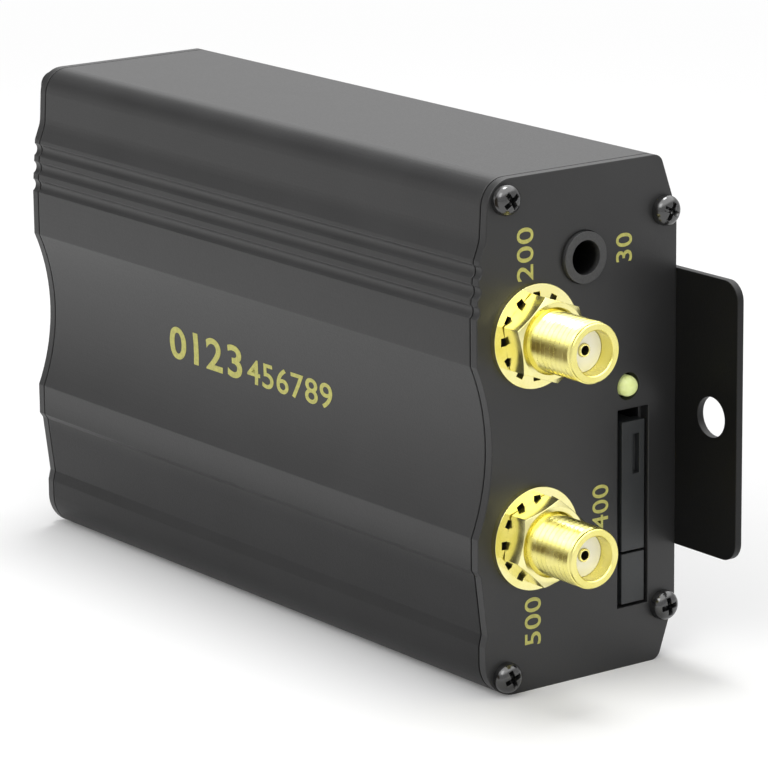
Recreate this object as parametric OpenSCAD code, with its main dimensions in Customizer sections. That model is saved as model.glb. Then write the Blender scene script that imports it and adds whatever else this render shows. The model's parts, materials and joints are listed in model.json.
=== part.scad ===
// Vehicle tracker in an extruded aluminium case, standing on its long narrow side.
// X runs towards the aerial sockets, the wavy front looks along -Y and Z is up.
// The origin is the middle of the base, half way along the case.

/* [Case] */
// Length of the case over both end plates
case_l = 83; // [80:1:100]
// Thickness of the case from the wavy front to the flat back
case_t = 26; // [26:0.5:30]
// Height of the case as it stands
case_h = 54; // [50:0.5:60]
// Thickness of the case walls
wall = 1.6; // [1.2:0.1:1.8]
// Thickness of each end plate
plate_t = 1.2; // [1:0.1:1.6]
// Width and depth of the seam round each end plate
seam = 0.2; // [0.1:0.05:0.3]

/* [Wavy front] */
// Depth of the broad hollow along the front
hollow_depth = 1.85; // [1:0.05:2]
// Height of the flat part of the lower band, under the broad hollow
lower_flat_h = 3.4; // [3:0.1:4.5]
// Height of the flat part of the upper band, over the broad hollow
upper_flat_h = 5.3; // [4.5:0.1:5.8]
// Distance from the top to the end of the flat upper band
upper_band_top = 13.6; // [13.3:0.1:14]
// Height at which the lower band stops being flat
lower_band_z = 13.8; // [13.5:0.1:14]
// Height of the small step under the lower band
band_step_z = 13.2; // [13:0.1:13.4]
// Depth of the small step under the lower band
band_step = 0.4; // [0.2:0.05:0.5]
// How far the grooved shoulder falls back at its top
shoulder_in = 1.2; // [1:0.05:1.4]
// Distance from the top to the top of the grooved shoulder
shoulder_top = 6.1; // [5.9:0.1:6.4]
// Distance from the top to the highest ridge of the shoulder
ridge_top = 8; // [7.8:0.1:8.1]
// How far the highest ridge falls back behind the upper band
ridge_in = 0.45; // [0.3:0.05:0.6]
// How far the rim over the shoulder falls back
rim_in = 1.55; // [1.4:0.05:1.8]
// Radius of the top front corner
rim_r = 2.8; // [2:0.1:3]
// Radius of the grooves along the shoulder
groove_r = 0.85; // [0.75:0.05:0.9]
// Depth of the grooves
groove_depth = 0.35; // [0.2:0.05:0.45]
// Height from groove to groove
groove_step_h = 2.05; // [2:0.05:2.1]
// Distance from the top to the highest groove
groove_top = 9.1; // [9:0.05:9.2]
// Number of grooves
groove_count = 3; // [1:1:3]
// How far the lower skirt falls back at its foot
skirt_in = 1.2; // [1:0.05:1.4]
// Height of the foot of the lower skirt
skirt_z = 6.8; // [6.6:0.1:7]
// How far the lip under the skirt falls back
lip_in = 0.9; // [0.7:0.05:1]
// Height of the top of the lip
lip_z = 5.6; // [5.4:0.1:5.8]
// Radius of the bottom front corner
lip_r = 3.8; // [3:0.1:4]

/* [Flat back] */
// How far the back slopes in at its top and bottom
back_slope_in = 2.2; // [2:0.1:2.6]
// Height of each slope of the back
back_slope_h = 6.3; // [6:0.1:6.8]
// Radius of the two back corners
back_corner_r = 1.2; // [0.8:0.1:1.5]

/* [Mounting plate] */
// Thickness of the mounting plate behind the case
ear_t = 0.8; // [0.8:0.1:1.5]
// Height of the mounting plate and its ears
ear_h = 29.6; // [26:0.2:32]
// How far each ear stands out past the end plate
ear_out = 9.65; // [9:0.05:12]
// Diameter of the hole in each ear
ear_hole_d = 4.3; // [3.2:0.1:4.5]
// Distance of the ear hole from the end plate
ear_hole_out = 5.65; // [5:0.05:6]
// Radius of the outer corners of the ears
ear_corner_r = 2; // [1:0.1:3]

/* [End plate screws] */
// Diameter of the screw heads
screw_head_d = 3.2; // [2.8:0.1:3.3]
// Height of the screw heads
screw_head_h = 1.4; // [1:0.1:1.6]
// Diameter of the screw shanks
screw_d = 1.6; // [1.4:0.1:1.7]
// Length of the screws under the head
screw_l = 8; // [6:0.5:10]
// Distance of the front screws from the front of the case
front_screw_in = 3.5; // [3.4:0.1:3.7]
// Distance of the front screws from the top and from the foot
front_screw_top = 2.1; // [2:0.1:2.2]
// Distance of the back screws from the back of the case
back_screw_in = 1.7; // [1.6:0.1:1.8]
// Distance of the back screws from the top and from the foot
back_screw_top = 5.9; // [5.8:0.1:6]

/* [Aerial sockets] */
// Outer diameter of the threaded barrels
barrel_d = 6.35; // [6.2:0.05:6.4]
// How far the barrels stand out from the end plate
barrel_out = 10; // [8:0.1:11]
// Distance of both sockets from the front of the case
aerial_in = 7.1; // [7.05:0.05:7.2]
// Height of the lower socket, for the telephone aerial
gsm_z = 16.3; // [16:0.1:16.5]
// Distance from the top to the upper socket, for the satellite aerial
gps_top = 16.5; // [16.3:0.1:16.8]
// Width of the lock nuts across their flats
nut_flats = 8; // [7.8:0.1:8.2]
// Thickness of the lock nuts
nut_t = 2.7; // [1.8:0.1:2.9]
// Angle at which the upper socket's nut is tight
gps_nut_turn = 10; // [0:1:59]
// Angle at which the lower socket's nut is tight
gsm_nut_turn = 48; // [0:1:59]
// Diameter of the toothed washers
washer_d = 10.8; // [10.4:0.1:11]
// Thickness of the toothed washers
washer_t = 0.7; // [0.5:0.1:0.8]
// Diameter of the insulator inside the barrel
insulator_d = 4.6; // [4.2:0.1:4.8]
// How far the insulator lies inside the rim of the barrel
insulator_in = 1.9; // [1.5:0.1:2.2]
// How far the centre contact stands out of the insulator
contact_out = 0.3; // [0:0.1:0.5]
// Diameter of the centre contact
contact_d = 1.4; // [1.2:0.05:1.6]
// Diameter of the hole in the centre contact
contact_hole_d = 0.95; // [0.8:0.05:1]

/* [Phone jack and lamp] */
// Bore of the phone jack
jack_d = 3.6; // [3.5:0.05:3.7]
// Outer diameter of the collar round the jack
jack_collar_d = 5.4; // [5.2:0.1:5.6]
// How far the collar stands out from the end plate
jack_collar_out = 0.5; // [0.3:0.1:0.8]
// Distance from the top to the jack
jack_top = 9.35; // [9.2:0.05:9.6]
// Height of the jack's square body
jack_body_w = 5.8; // [5.6:0.1:6]
// Length of the jack's square body
jack_body_l = 12; // [10:0.5:13]
// Diameter of the lamp
lamp_d = 2.2; // [2:0.1:2.4]
// How far the lamp stands out from the end plate
lamp_out = 0.9; // [0.5:0.1:1.2]
// Gap between the lamp and its hole
lamp_gap = 0.35; // [0.1:0.05:0.4]
// Height of the lamp over the drawer slot
lamp_up = 2.4; // [2.3:0.1:2.8]

/* [Card drawer] */
// Height of the foot of the drawer slot
slot_z = 6.5; // [6.4:0.1:6.8]
// Height of the drawer slot
slot_h = 21.3; // [21:0.1:21.6]
// Width of the drawer slot
slot_w = 4.1; // [4:0.05:4.2]
// How far the drawer lies behind the face of the end plate
drawer_in = 0.15; // [0:0.05:0.4]
// Width of the drawer and its button
drawer_w = 3; // [2.8:0.05:3]
// How far the drawer lies behind the middle of its slot
drawer_side = 0.15; // [0:0.05:0.15]
// Gap under the button and between the button and the drawer
drawer_gap = 0.3; // [0.25:0.05:0.35]
// Height of the eject button
button_h = 5.4; // [5:0.1:5.5]
// Height of the face of the drawer
drawer_h = 13.85; // [13.6:0.05:14.5]
// How far the eject button can be pressed
button_travel = 2.2; // [1.8:0.1:2.3]
// Length of the card
card_l = 15; // [14.8:0.1:15.2]
// Width of the card
card_w = 12; // [11.8:0.1:12.2]
// Thickness of the card
card_t = 0.76; // [0.6:0.02:0.84]

/* [Circuit boards] */
// Thickness of both boards
board_t = 1.6; // [1.2:0.1:1.6]
// Distance of the main board from the back of the case
main_board_in = 7.85; // [7.8:0.05:8]
// Gap between each board and its grooves in the case
board_gap = 0.1; // [0.05:0.05:0.2]
// Depth of the grooves that hold the boards
board_groove = 1.5; // [1.2:0.1:1.8]
// Width of the ribs on both sides of a board
rib_w = 1; // [0.8:0.1:1.1]

/* [Harness sockets] */
// Width of the square that each pin has to itself
pin_room_w = 3; // [2.8:0.1:3]
// Number of pins in each row of the long socket
long_pins = 5; // [3:1:5]
// Number of pins in each row of the short socket
short_pins = 2; // [2:1:2]
// Thickness of the pins
pin_w = 1; // [0.6:0.1:1]
// Thickness of the socket walls
socket_wall = 0.9; // [0.8:0.1:1]
// Depth of the sockets' hollows
socket_depth = 8.6; // [8:0.1:9]
// Length of the pins inside the hollows
pin_reach = 3.9; // [3.5:0.1:4]
// How far the sockets stand out from the end plate
socket_out = 0.5; // [0.3:0.1:0.8]
// Height of the middle of the long socket
long_socket_z = 17; // [16.5:0.1:17.5]
// Distance from the top to the middle of the short socket
short_socket_top = 14; // [13.5:0.1:14.5]

/* [Hidden] */
$fn = 64;
// One overrun serves all cuts
over = 1;
// Gap between a shank and its hole
shank_fit = 0.05;
// Gap round a piece that passes through an end plate
pass_gap = 0.12;

// Ends of the case and of the tube between the end plates
plate_face = case_l / 2;
tube_end = plate_face - plate_t;
front_y = -case_t / 2;
back_y = case_t / 2;
mid_z = case_h / 2;

// Places of the four screws of an end plate
screw_places = [
    [front_y + front_screw_in, front_screw_top],
    [front_y + front_screw_in, case_h - front_screw_top],
    [back_y - back_screw_in, back_screw_top],
    [back_y - back_screw_in, case_h - back_screw_top]
];
screw_boss_t = 1.05;
screw_boss_r = screw_d / 2 + shank_fit + screw_boss_t;

// Heights that are set by their distance from the top
upper_band_z = case_h - upper_band_top;
shoulder_z = case_h - shoulder_top;
ridge_z = case_h - ridge_top;
gps_z = case_h - gps_top;
short_socket_z = case_h - short_socket_top;
lamp_z = slot_z + slot_h + lamp_up;

// Places of the two boards between the case walls
board_low_z = wall + board_gap;
board_high_z = case_h - wall - board_gap;
main_back_y = back_y - main_board_in;
main_board_y = main_back_y - board_t;
aerial_y = front_y + aerial_in;
radio_board_y = aerial_y - board_t / 2;
radio_back_y = radio_board_y + board_t;
lug_l = 4.6;
block_l = 3.5;
main_end_gap = 4;
main_board_low_x = -tube_end + main_end_gap;
main_board_high_x = tube_end - main_end_gap;
radio_board_l = 34;
radio_board_high_x = tube_end - block_l;
radio_board_low_x = radio_board_high_x - radio_board_l;
// The phone jack lies on the front of the main board, clear of the upper washer in any case
jack_y = main_board_y - jack_body_w / 2;
jack_washer_gap = 0.5;
jack_reach = washer_d / 2 + jack_collar_d / 2 + jack_washer_gap;
jack_rise = sqrt(max(0, pow(jack_reach, 2) - pow(jack_y - aerial_y, 2)));
jack_z = max(case_h - jack_top, gps_z + jack_rise);
// The radio board's top corner is cut out round the phone jack
jack_clearance = 0.6;
radio_notch_x = tube_end - jack_body_l - jack_clearance;
radio_notch_z = jack_z - jack_body_w / 2 - jack_clearance;

// Places of the card drawer
slot_y = main_back_y + board_gap;
drawer_mid_y = slot_y + slot_w / 2 + drawer_side;
button_z = slot_z + drawer_gap;
drawer_z = button_z + button_h + drawer_gap;
drawer_face = plate_face - drawer_in;
drawer_face_t = 1.5;
card_margin = 1.2;
drawer_back = drawer_face - drawer_face_t - card_l - 2 * card_margin;
drawer_plate_t = 1.5;
housing_wall = 0.35;
housing_end_gap = 4.8;
housing_back = drawer_back - button_travel - housing_end_gap;
rod_w = 1.5;
rod_t = 1.4;
lever_w = 1.4;
lever_t = 1;
lever_arm = 4;
lever_gap = 0.5;
lever_pin_d = 1.2;
rod_z = button_z + rod_w / 2 + drawer_gap;
lever_z = rod_z + lever_arm;
lever_x = drawer_back - button_travel - lever_gap - lever_w / 2;
card_z = drawer_z + drawer_h / 2;

// The lamp lies on the back of the main board
lamp_y_share = 0.68;
lamp_y = main_back_y + lamp_d * lamp_y_share;
lamp_l = 4.9;
lamp_rim_d = lamp_d * 1.2;
lamp_rim_t = lamp_d / 3;
lamp_lead_w = lamp_d / 6;
lamp_lead_spacing = lamp_d * 0.8;

// Draws a block between two corners.
module block(low, high) {
    translate(low) cube(high - low);
}

// Extrudes a drawing of the YZ plane along X.
module along_x(start, length) {
    translate([start, 0, 0]) rotate([90, 0, 90]) linear_extrude(length) children();
}

// Extrudes a drawing of the XZ plane from one Y towards a higher one.
module along_y(start, length) {
    translate([0, start + length, 0]) rotate([90, 0, 0]) linear_extrude(length) children();
}

// Draws a round bar that lies along X.
module bar_x(start, length, radius, y, z) {
    translate([start, y, z]) rotate([0, 90, 0]) cylinder(h = length, r = radius);
}

// Draws a round bar that lies along Y.
module bar_y(start, length, radius, x, z) {
    translate([x, start, z]) rotate([-90, 0, 0]) cylinder(h = length, r = radius);
}

function unit(v) = v / norm(v);
function before(points, i) = points[(i + len(points) - 1) % len(points)];
function after(points, i) = points[(i + 1) % len(points)];
function to_before(points, i) = unit(before(points, i) - points[i]);
function to_after(points, i) = unit(after(points, i) - points[i]);
function half_angle(points, i) = acos(to_before(points, i) * to_after(points, i)) / 2;
function tangent_l(points, i, r) = r / tan(half_angle(points, i));
function arc_middle(points, i, r) =
    points[i] + unit(to_before(points, i) + to_after(points, i)) * r / sin(half_angle(points, i));
function turn(a, b) = a[0] * b[1] - a[1] * b[0];
function bulges(points, i) = turn(to_after(points, i), to_before(points, i)) > 0;
function cut_corner(points, radii, i) = radii[i] == 0 ? [points[i]] : [
    points[i] + to_before(points, i) * tangent_l(points, i, radii[i]),
    points[i] + to_after(points, i) * tangent_l(points, i, radii[i])
];

// Draws an outline, listed anticlockwise, whose corners are true arcs of the given radii.
module rounded(points, radii) {
    corners = [for (i = [0 : len(points) - 1]) i];
    difference() {
        union() {
            polygon([for (i = corners) each cut_corner(points, radii, i)]);
            for (i = corners) if (radii[i] > 0 && bulges(points, i))
                translate(arc_middle(points, i, radii[i])) circle(radii[i]);
        }
        for (i = corners) if (radii[i] > 0 && !bulges(points, i))
            translate(arc_middle(points, i, radii[i])) circle(radii[i]);
    }
}

function ridge_y(z) = front_y + ridge_in * (z - upper_band_z) / (ridge_z - upper_band_z);
hollow_w = upper_band_z - upper_flat_h - lower_band_z - lower_flat_h;
hollow_z = lower_band_z + lower_flat_h + hollow_w / 2;
hollow_r = (pow(hollow_w / 2, 2) + pow(hollow_depth, 2)) / (2 * hollow_depth);
groove_out = groove_r - groove_depth;
shoulder_hollow_r = 3.5;

// Draws the cross section's outer line, drawn in all round by inset.
module section_line(inset = 0) {
    points = [
        [front_y + lip_in + inset, inset],
        [back_y - back_slope_in - inset, inset],
        [back_y - inset, back_slope_h],
        [back_y - inset, case_h - back_slope_h],
        [back_y - back_slope_in - inset, case_h - inset],
        [front_y + rim_in + inset, case_h - inset],
        [front_y + shoulder_in + inset, shoulder_z],
        [front_y + ridge_in + inset, ridge_z],
        [front_y + inset, upper_band_z],
        [front_y + inset, lower_band_z],
        [front_y + band_step + inset, band_step_z],
        [front_y + skirt_in + inset, skirt_z],
        [front_y + lip_in + inset, lip_z]
    ];
    radii = [
        lip_r, back_corner_r, back_corner_r, back_corner_r, back_corner_r,
        rim_r, shoulder_hollow_r, 0, 0, 0, 0, 0, 0
    ];
    difference() {
        rounded(points, radii);
        translate([front_y + inset + hollow_depth - hollow_r, hollow_z])
            circle(hollow_r, $fn = 4 * $fn);
        for (i = [0 : groove_count - 1]) {
            z = case_h - groove_top - i * groove_step_h;
            translate([ridge_y(z) + inset - groove_out, z]) circle(groove_r);
        }
    }
}

// Share of the back's slope that the hollow inside takes up
cavity_slope_share = 0.8;

// Draws the hollow inside the tube.
module section_cavity() {
    low = wall;
    high = case_h - wall;
    front = front_y + hollow_depth + wall;
    back = back_y - wall;
    slope_in = back_slope_in * cavity_slope_share;
    polygon([
        [front, low],
        [back - slope_in, low],
        [back, back_slope_h],
        [back, case_h - back_slope_h],
        [back - slope_in, high],
        [front, high]
    ]);
}

// Draws the two ribs that hold one edge of a board whose front face is at y.
module board_ribs(y) {
    for (rib_y = [y - board_gap - rib_w, y + board_t + board_gap]) {
        translate([rib_y, 0]) square([rib_w, wall + board_groove]);
        translate([rib_y, case_h - wall - board_groove]) square([rib_w, wall + board_groove]);
    }
}

module case_section() {
    difference() {
        intersection() {
            section_line();
            union() {
                difference() {
                    translate([front_y, 0]) square([case_t, case_h]);
                    section_cavity();
                }
                for (place = screw_places) translate(place) circle(screw_boss_r);
                board_ribs(main_board_y);
                board_ribs(radio_board_y);
            }
        }
        for (place = screw_places) translate(place) circle(screw_d / 2 + shank_fit);
    }
}

// Places of the mounting plate's own screws
rear_screw_d = 2;
rear_screw_l = ear_t + wall;
rear_screw_head_d = 3.4;
rear_screw_shares = [0.36, 0.34];
rear_screw_x = case_l * rear_screw_shares[0];
rear_screw_z = ear_h * rear_screw_shares[1];

module rear_screw_places() {
    for (x = [-rear_screw_x, rear_screw_x], z = [-rear_screw_z, rear_screw_z])
        translate([x, back_y + ear_t, mid_z + z]) rotate([90, 0, 0]) children();
}

module case_extrusion() {
    color("#2b2b2e") difference() {
        along_x(-tube_end, 2 * tube_end) case_section();
        rear_screw_places() cylinder(h = rear_screw_l + ear_t, r = rear_screw_d / 2 + shank_fit);
    }
}

// Draws an end plate with its outer face at plate_face and its seam step towards the case.
module end_plate() {
    difference() {
        union() {
            along_x(tube_end + seam, plate_t - seam) section_line();
            along_x(tube_end, seam) section_line(seam);
        }
        for (place = screw_places)
            bar_x(tube_end - over, plate_t + 2 * over, screw_d / 2 + shank_fit, place[0], place[1]);
    }
}

module connector_end_plate() {
    cut_x = tube_end - over;
    cut_l = plate_t + 2 * over;
    color("#2a2a2c") difference() {
        end_plate();
        for (z = [gsm_z, gps_z]) bar_x(cut_x, cut_l, barrel_d / 2 + shank_fit, aerial_y, z);
        bar_x(cut_x, cut_l, jack_collar_d / 2 + shank_fit, jack_y, jack_z);
        bar_x(cut_x, cut_l, lamp_d / 2 + lamp_gap, lamp_y, lamp_z);
        block([cut_x, slot_y, slot_z], [cut_x + cut_l, slot_y + slot_w, slot_z + slot_h]);
    }
}

// Outer sizes of a harness socket with the given number of pins in a row
socket_share = 2.2;
socket_t = 2 * pin_room_w + socket_share * socket_wall;
socket_y = main_board_y - socket_t / 2 - board_gap;
socket_face = -plate_face - socket_out;
socket_base_t = 1.2;
socket_key_w = 2.4;
function socket_h(pins) = pins * pin_room_w + 2 * socket_wall;

module socket_cut(pins, z) {
    half_t = socket_t / 2 + pass_gap;
    half_h = socket_h(pins) / 2 + pass_gap;
    block([-plate_face - over, socket_y - half_t, z - half_h],
        [-tube_end + over, socket_y + half_t, z + half_h]);
}

module harness_end_plate() {
    color("#2a2a2c") difference() {
        mirror([1, 0, 0]) end_plate();
        socket_cut(long_pins, long_socket_z);
        socket_cut(short_pins, short_socket_z);
    }
}

module mounting_plate() {
    half_l = plate_face + ear_out;
    half_h = ear_h / 2;
    points = [
        [-half_l, mid_z - half_h],
        [half_l, mid_z - half_h],
        [half_l, mid_z + half_h],
        [-half_l, mid_z + half_h]
    ];
    radii = [for (i = [0 : 3]) ear_corner_r];
    color("#171718") difference() {
        along_y(back_y, ear_t) difference() {
            rounded(points, radii);
            for (side = [-1, 1])
                translate([side * (plate_face + ear_hole_out), mid_z]) circle(ear_hole_d / 2);
        }
        rear_screw_places() rear_screw(rear_screw_d / 2 + shank_fit, rear_screw_head_d / 2);
    }
}

// Draws a countersunk screw whose flat top is at zero and whose shank points along +Z.
module rear_screw(shank_r, head_r) {
    head_h = head_r - shank_r;
    rotate_extrude() polygon([
        [0, 0],
        [head_r, 0],
        [shank_r, head_h],
        [shank_r, rear_screw_l],
        [0, rear_screw_l]
    ]);
}

module mounting_plate_screws() {
    recess_d = rear_screw_head_d * 0.45;
    recess_h = ear_t * 0.5;
    color("#1c1c1e") rear_screw_places() difference() {
        rear_screw(rear_screw_d / 2, rear_screw_head_d / 2 - shank_fit);
        translate([0, 0, -recess_h]) cylinder(h = 2 * recess_h, d = recess_d, $fn = 6);
    }
}

// Shares of a screw head's size that its rounding and its cross recess take up
head_round_share = 0.45;
cross_shares = [0.56, 0.16, 0.6];

// Draws a pan head screw that points along -X from the face of an end plate.
module plate_screw(place) {
    cross_l = screw_head_d * cross_shares[0];
    cross_w = screw_head_d * cross_shares[1];
    cross_low = screw_head_h * (1 - cross_shares[2]);
    translate([plate_face, place[0], place[1]]) rotate([0, 90, 0]) difference() {
        union() {
            translate([0, 0, -screw_l]) cylinder(h = screw_l + screw_head_h / 2, d = screw_d);
            rotate_extrude() head_outline();
        }
        for (angle = [45, 135]) rotate(angle)
            translate([-cross_l / 2, -cross_w / 2, cross_low]) cube([cross_l, cross_w, screw_head_h]);
    }
}

// Draws half of a pan head's side view, with its rim rounded.
module head_outline() {
    round_r = screw_head_h * head_round_share;
    middle = [screw_head_d / 2 - round_r, screw_head_h - round_r];
    square([screw_head_d / 2, middle[1]]);
    square([middle[0], screw_head_h]);
    intersection() {
        translate(middle) circle(round_r);
        translate([middle[0], 0]) square([round_r, screw_head_h]);
    }
}

module connector_plate_screws() {
    color("#1a1a1c") for (place = screw_places) plate_screw(place);
}

module harness_plate_screws() {
    color("#1a1a1c") mirror([1, 0, 0]) for (place = screw_places) plate_screw(place);
}

// Sizes shared by both aerial sockets
barrel_tip = plate_face + barrel_out;
nut_face = plate_face + washer_t + nut_t;
block_share = 1.1;
block_w = barrel_d * block_share;
lug_w = block_w / 4;
insulator_tip = barrel_tip - insulator_in;
insulator_x = tube_end - block_l / 2;
contact_tip = insulator_tip + contact_out;
contact_l = contact_tip - radio_board_high_x - board_gap;
rim_edge = 0.32;

// The barrel is drawn at its thread's core under the nut, and the nut at the same core.
core_share = 0.9;
core_r = barrel_d / 2 * core_share;

module aerial_shell(z) {
    block_x = tube_end - block_l;
    lug_t = (block_w - board_t) / 4;
    color("#d8b64a") difference() {
        union() {
            aerial_bar(nut_face, barrel_tip - rim_edge, barrel_d / 2, z);
            aerial_bar(nut_face + rim_edge, barrel_tip, barrel_d / 2 - rim_edge, z);
            aerial_bar(tube_end - rim_edge, nut_face + rim_edge, core_r, z);
            block([block_x, aerial_y - block_w / 2, z - block_w / 2],
                [tube_end, aerial_y + block_w / 2, z + block_w / 2]);
            for (side = [-1, 1], row = [-1, 1]) {
                lug_y = aerial_y + row * (board_t / 2 + lug_t / 2);
                lug_z = z + side * (block_w - lug_w) / 2;
                block([block_x - lug_l, lug_y - lug_t / 2, lug_z - lug_w / 2],
                    [block_x + rim_edge, lug_y + lug_t / 2, lug_z + lug_w / 2]);
            }
        }
        aerial_bar(insulator_x, barrel_tip + over, insulator_d / 2, z);
        aerial_bar(block_x - over, insulator_x + over, insulator_d / 4, z);
    }
}

// Draws a round bar on a socket's axis between two places along X.
module aerial_bar(start, end, radius, z) {
    bar_x(start, end - start, radius, aerial_y, z);
}

module aerial_insulator(z) {
    color("#efe6cf") difference() {
        aerial_bar(insulator_x, insulator_tip, insulator_d / 2 - shank_fit / 2, z);
        aerial_bar(insulator_x - over, insulator_tip + over, contact_d / 2, z);
    }
}

module aerial_contact(z) {
    color("#d9b24c") difference() {
        aerial_bar(contact_tip - contact_l, contact_tip, contact_d / 2 - shank_fit / 2, z);
        aerial_bar(contact_tip - barrel_out / 2, contact_tip + over, contact_hole_d / 2, z);
    }
}

// Shares of the washer's diameter for the width and the reach of the gaps between its teeth
tooth_gap_shares = [0.08, 0.425];

// Draws a flat washer with teeth round its hole, against the face of the end plate.
module aerial_washer(z) {
    teeth = 12;
    gap_w = washer_d * tooth_gap_shares[0];
    gap_r = washer_d * tooth_gap_shares[1];
    color("#e3c558") translate([plate_face, aerial_y, z]) rotate([0, 90, 0])
        linear_extrude(washer_t) difference() {
            circle(washer_d / 2);
            circle(barrel_d / 2 + shank_fit);
            for (i = [0 : teeth - 1]) rotate(i * 360 / teeth)
                translate([0, -gap_w / 2]) square([gap_r, gap_w]);
        }
}

module aerial_nut(z, angle) {
    corner_r = nut_flats / 2 / cos(30);
    color("#e0c052") translate([plate_face + washer_t, aerial_y, z]) rotate([angle, 0, 0])
        rotate([0, 90, 0]) difference() {
            intersection() {
                cylinder(h = nut_t, r = corner_r, $fn = 6);
                nut_shape(corner_r);
            }
            translate([0, 0, -over]) cylinder(h = nut_t + 2 * over, r = core_r + shank_fit);
        }
}

// Draws the turned outline that takes the corners off a nut's outer face.
module nut_shape(corner_r) {
    bevel = corner_r - nut_flats / 2;
    rotate_extrude() polygon([
        [0, 0],
        [corner_r + bevel, 0],
        [corner_r + bevel, nut_t - bevel],
        [nut_flats / 2, nut_t],
        [0, nut_t]
    ]);
}

module gps_socket_shell() { aerial_shell(gps_z); }
module gps_socket_insulator() { aerial_insulator(gps_z); }
module gps_socket_contact() { aerial_contact(gps_z); }
module gps_socket_washer() { aerial_washer(gps_z); }
module gps_socket_nut() { aerial_nut(gps_z, gps_nut_turn); }
module gsm_socket_shell() { aerial_shell(gsm_z); }
module gsm_socket_insulator() { aerial_insulator(gsm_z); }
module gsm_socket_contact() { aerial_contact(gsm_z); }
module gsm_socket_washer() { aerial_washer(gsm_z); }
module gsm_socket_nut() { aerial_nut(gsm_z, gsm_nut_turn); }

// The jack's body lies on the front of the main board with its collar through the end plate.
jack_floor_t = 0.6;
jack_mouth_x = plate_face + jack_collar_out;
jack_bore_x = tube_end - jack_body_l + jack_floor_t;
jack_tab_t = 0.3;
jack_tab_w = 1.6;
jack_tab_shares = [0.2, 0.5, 0.8];

module jack_body() {
    half_w = jack_body_w / 2;
    collar_x = tube_end - rim_edge;
    color("#1b1b1d") difference() {
        union() {
            block([tube_end - jack_body_l, jack_y - half_w, jack_z - half_w],
                [tube_end, jack_y + half_w, jack_z + half_w]);
            bar_x(collar_x, jack_mouth_x - collar_x, jack_collar_d / 2, jack_y, jack_z);
        }
        bar_x(jack_bore_x, jack_mouth_x + over - jack_bore_x, jack_d / 2, jack_y, jack_z);
    }
}

module jack_contacts() {
    half_w = jack_body_w / 2;
    color("#c9ccd0") for (i = [0 : 2]) {
        x = tube_end - jack_body_l * jack_tab_shares[i];
        side = i % 2 == 0 ? 1 : -1;
        z = jack_z + side * (half_w + jack_tab_t / 2);
        foot_z = jack_z + side * (half_w + jack_tab_w / 2);
        block([x - jack_tab_w / 2, jack_y - half_w / 2, z - jack_tab_t / 2],
            [x + jack_tab_w / 2, main_board_y, z + jack_tab_t / 2]);
        block([x - jack_tab_w / 2, main_board_y - jack_tab_t, foot_z - jack_tab_w / 2],
            [x + jack_tab_w / 2, main_board_y, foot_z + jack_tab_w / 2]);
    }
}

module status_lamp() {
    lens_r = lamp_d / 2;
    tip = plate_face + lamp_out;
    lens_l = lamp_l - lamp_rim_t - lens_r;
    color("#d7e08a") translate([tip - lamp_l, lamp_y, lamp_z]) rotate([0, 90, 0]) rotate_extrude()
        intersection() {
            union() {
                square([lamp_rim_d / 2, lamp_rim_t]);
                square([lens_r, lamp_rim_t + lens_l]);
                translate([0, lamp_rim_t + lens_l]) circle(lens_r);
            }
            square([lamp_rim_d, lamp_l]);
        }
}

module lamp_leads() {
    start = main_board_high_x - lamp_l;
    color("#c9ccd0") for (side = [-1, 1]) {
        z = lamp_z + side * lamp_lead_spacing / 2;
        block([start, main_back_y, z - lamp_lead_w / 2],
            [plate_face + lamp_out - lamp_l, main_back_y + lamp_lead_w, z + lamp_lead_w / 2]);
    }
}

module main_board() {
    color("#1f6b3f") block([main_board_low_x, main_board_y, board_low_z],
        [main_board_high_x, main_back_y, board_high_z]);
}

module radio_board() {
    color("#1f6b3f") difference() {
        block([radio_board_low_x, radio_board_y, board_low_z],
            [radio_board_high_x, radio_back_y, board_high_z]);
        block([radio_notch_x, radio_board_y - over, radio_notch_z],
            [radio_board_high_x + over, radio_back_y + over, board_high_z + over]);
    }
}

// Sizes of the pieces that sit on the boards
link_w = 2.5;
link_l = 12.7;
link_pins = 5;
link_wall = link_w * 0.2;
gsm_module_w = 24;
gps_module_l = 16;
gps_module_w = 12.2;
module_t = 2.4;
can_r = 0.8;
chip_w = 10;
chip_t = 1.4;
battery_gap = 4;
battery_margin = 8;
battery_t = 5.6;
battery_r = 1.5;
capacitor_d = 6.3;
capacitor_l = 5.8;
capacitor_groove = 0.7;
inductor_w = 7.3;
inductor_t = 3.4;

// The header joins the two boards through a row of pins in a plastic block.
module board_link_header() {
    x = radio_board_low_x + link_w;
    z = mid_z + link_w;
    color("#161618") difference() {
        block([x, radio_back_y, z], [x + link_w, main_board_y, z + link_l]);
        for (i = [0 : link_pins - 1]) {
            slot_low = z + link_wall + i * (link_l - link_wall) / link_pins;
            slot_high = z + (i + 1) * (link_l - link_wall) / link_pins;
            block([x - over, radio_back_y + link_w, slot_low],
                [x + link_wall, main_board_y - link_w, slot_high]);
        }
    }
}

// Draws a screening can with rounded corners on a face of the radio board.
module screened_module(x, z, length, width, y) {
    points = [[x, z], [x + length, z], [x + length, z + width], [x, z + width]];
    radii = [for (i = [0 : 3]) can_r];
    color("#b9bdc2") along_y(y, module_t) rounded(points, radii);
}

module gsm_module() {
    screened_module(radio_board_high_x - lug_l - gsm_module_w, board_low_z + board_groove + can_r,
        gsm_module_w, gsm_module_w, radio_back_y);
}

module gps_module() {
    screened_module(radio_notch_x - can_r - gps_module_l, gps_z - gps_module_w / 2,
        gps_module_l, gps_module_w, radio_board_y - module_t);
}

module controller_chip() {
    color("#18181a") block([-chip_w, main_back_y, mid_z],
        [0, main_back_y + chip_t, mid_z + chip_w]);
}

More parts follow.
